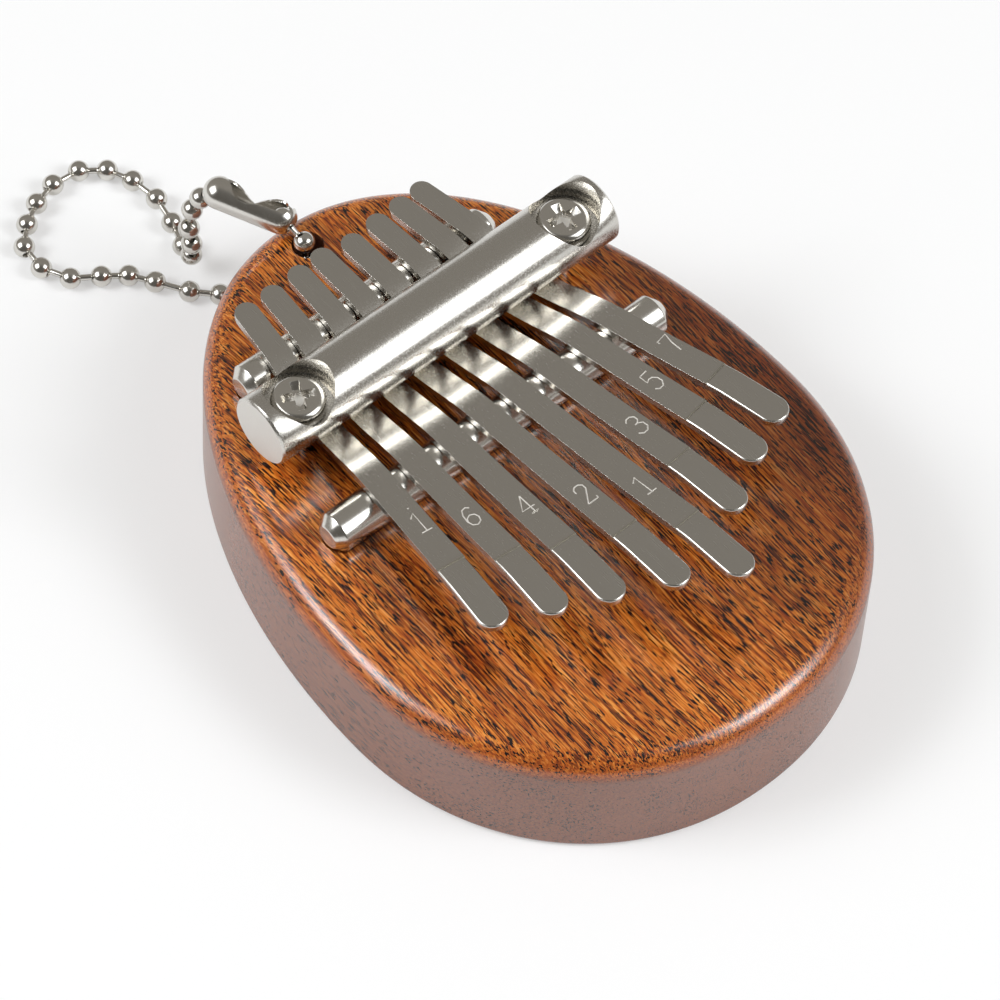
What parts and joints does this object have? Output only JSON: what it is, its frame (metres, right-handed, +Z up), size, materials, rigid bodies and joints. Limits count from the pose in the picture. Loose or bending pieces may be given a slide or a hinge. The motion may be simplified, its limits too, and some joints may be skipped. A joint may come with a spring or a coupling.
{
  "type": "mbira",
  "caption": "Pocket thumb piano: steel tines held by a bar over two bridge rods on an egg-shaped hardwood board, with a ball chain looped through its narrow end.",
  "frame": {"origin": "on the table, under the middle of the board's bounding box", "axes": "+Z up out of the board's face, +Y along the board towards its narrow end and the chain, +X to the right of a player whose thumbs come from the wide end"},
  "size_m": [0.0606, 0.1086, 0.0261],
  "materials": {
    "board_wood": "lacquered",
    "bar_nickel": "satin",
    "rod_nickel": "polished",
    "screw_nickel": "polished",
    "tine_steel": "polished",
    "chain_nickel": "polished"
  },
  "bodies": {
    "soundboard": {"board": "board_wood", "pressure_bar": "bar_nickel", "front_bridge": "rod_nickel", "rear_bridge": "rod_nickel", "screw_left": "screw_nickel", "screw_right": "screw_nickel", "tine_high_1_tail": "tine_steel", "tine_6_tail": "tine_steel", "tine_4_tail": "tine_steel", "tine_2_tail": "tine_steel", "tine_1_tail": "tine_steel", "tine_3_tail": "tine_steel", "tine_5_tail": "tine_steel", "tine_7_tail": "tine_steel", "chain_bead_01": "chain_nickel", "chain_bead_02": "chain_nickel", "chain_bead_03": "chain_nickel", "chain_bead_04": "chain_nickel", "chain_bead_05": "chain_nickel", "chain_bead_06": "chain_nickel", "chain_bead_07": "chain_nickel", "chain_bead_08": "chain_nickel", "chain_bead_09": "chain_nickel", "chain_bead_10": "chain_nickel", "chain_bead_11": "chain_nickel", "chain_bead_12": "chain_nickel", "chain_bead_13": "chain_nickel", "chain_bead_14": "chain_nickel", "chain_bead_15": "chain_nickel", "chain_bead_16": "chain_nickel", "chain_bead_17": "chain_nickel", "chain_bead_18": "chain_nickel", "chain_bead_19": "chain_nickel", "chain_bead_20": "chain_nickel", "chain_bead_21": "chain_nickel", "chain_bead_22": "chain_nickel", "chain_bead_23": "chain_nickel", "chain_bead_24": "chain_nickel", "chain_bead_25": "chain_nickel", "chain_bead_26": "chain_nickel", "chain_bead_27": "chain_nickel", "chain_bead_28": "chain_nickel", "chain_bead_29": "chain_nickel", "chain_bead_30": "chain_nickel", "chain_bead_31": "chain_nickel", "chain_clasp": "chain_nickel"},
    "tine_high_1": {"tine_high_1_tongue": "tine_steel"},
    "tine_6": {"tine_6_tongue": "tine_steel"},
    "tine_4": {"tine_4_tongue": "tine_steel"},
    "tine_2": {"tine_2_tongue": "tine_steel"},
    "tine_1": {"tine_1_tongue": "tine_steel"},
    "tine_3": {"tine_3_tongue": "tine_steel"},
    "tine_5": {"tine_5_tongue": "tine_steel"},
    "tine_7": {"tine_7_tongue": "tine_steel"}
  },
  "joints": [
    {"name": "tine_high_1_flex", "type": "hinge", "parent": "soundboard", "child": "tine_high_1", "pos_m": [-0.0158, 0.00454, 0.01952], "axis": [0.9939, -0.1103, 0], "range_deg": [-3, 5], "stiffness_Nm_per_rad": 5.34},
    {"name": "tine_6_flex", "type": "hinge", "parent": "soundboard", "child": "tine_6", "pos_m": [-0.01119, 0.00454, 0.01952], "axis": [0.9976, -0.0688, 0], "range_deg": [-3, 5], "stiffness_Nm_per_rad": 4.66},
    {"name": "tine_4_flex", "type": "hinge", "parent": "soundboard", "child": "tine_4", "pos_m": [-0.00643, 0.00454, 0.01952], "axis": [0.9995, -0.033, 0], "range_deg": [-3, 5], "stiffness_Nm_per_rad": 4.22},
    {"name": "tine_2_flex", "type": "hinge", "parent": "soundboard", "child": "tine_2", "pos_m": [-0.00168, 0.00454, 0.01952], "axis": [0.9997, 0.024, 0], "range_deg": [-3, 5], "stiffness_Nm_per_rad": 3.83},
    {"name": "tine_1_flex", "type": "hinge", "parent": "soundboard", "child": "tine_1", "pos_m": [0.0028, 0.00454, 0.01952], "axis": [0.9986, 0.0529, 0], "range_deg": [-3, 5], "stiffness_Nm_per_rad": 3.42},
    {"name": "tine_3_flex", "type": "hinge", "parent": "soundboard", "child": "tine_3", "pos_m": [0.00752, 0.00454, 0.01952], "axis": [0.9959, 0.0906, 0], "range_deg": [-3, 5], "stiffness_Nm_per_rad": 4.29},
    {"name": "tine_5_flex", "type": "hinge", "parent": "soundboard", "child": "tine_5", "pos_m": [0.01256, 0.00454, 0.01952], "axis": [0.988, 0.1541, 0], "range_deg": [-3, 5], "stiffness_Nm_per_rad": 4.96},
    {"name": "tine_7_flex", "type": "hinge", "parent": "soundboard", "child": "tine_7", "pos_m": [0.0169, 0.00454, 0.01952], "axis": [0.9794, 0.2018, 0], "range_deg": [-3, 5], "stiffness_Nm_per_rad": 5.47}
  ]
}
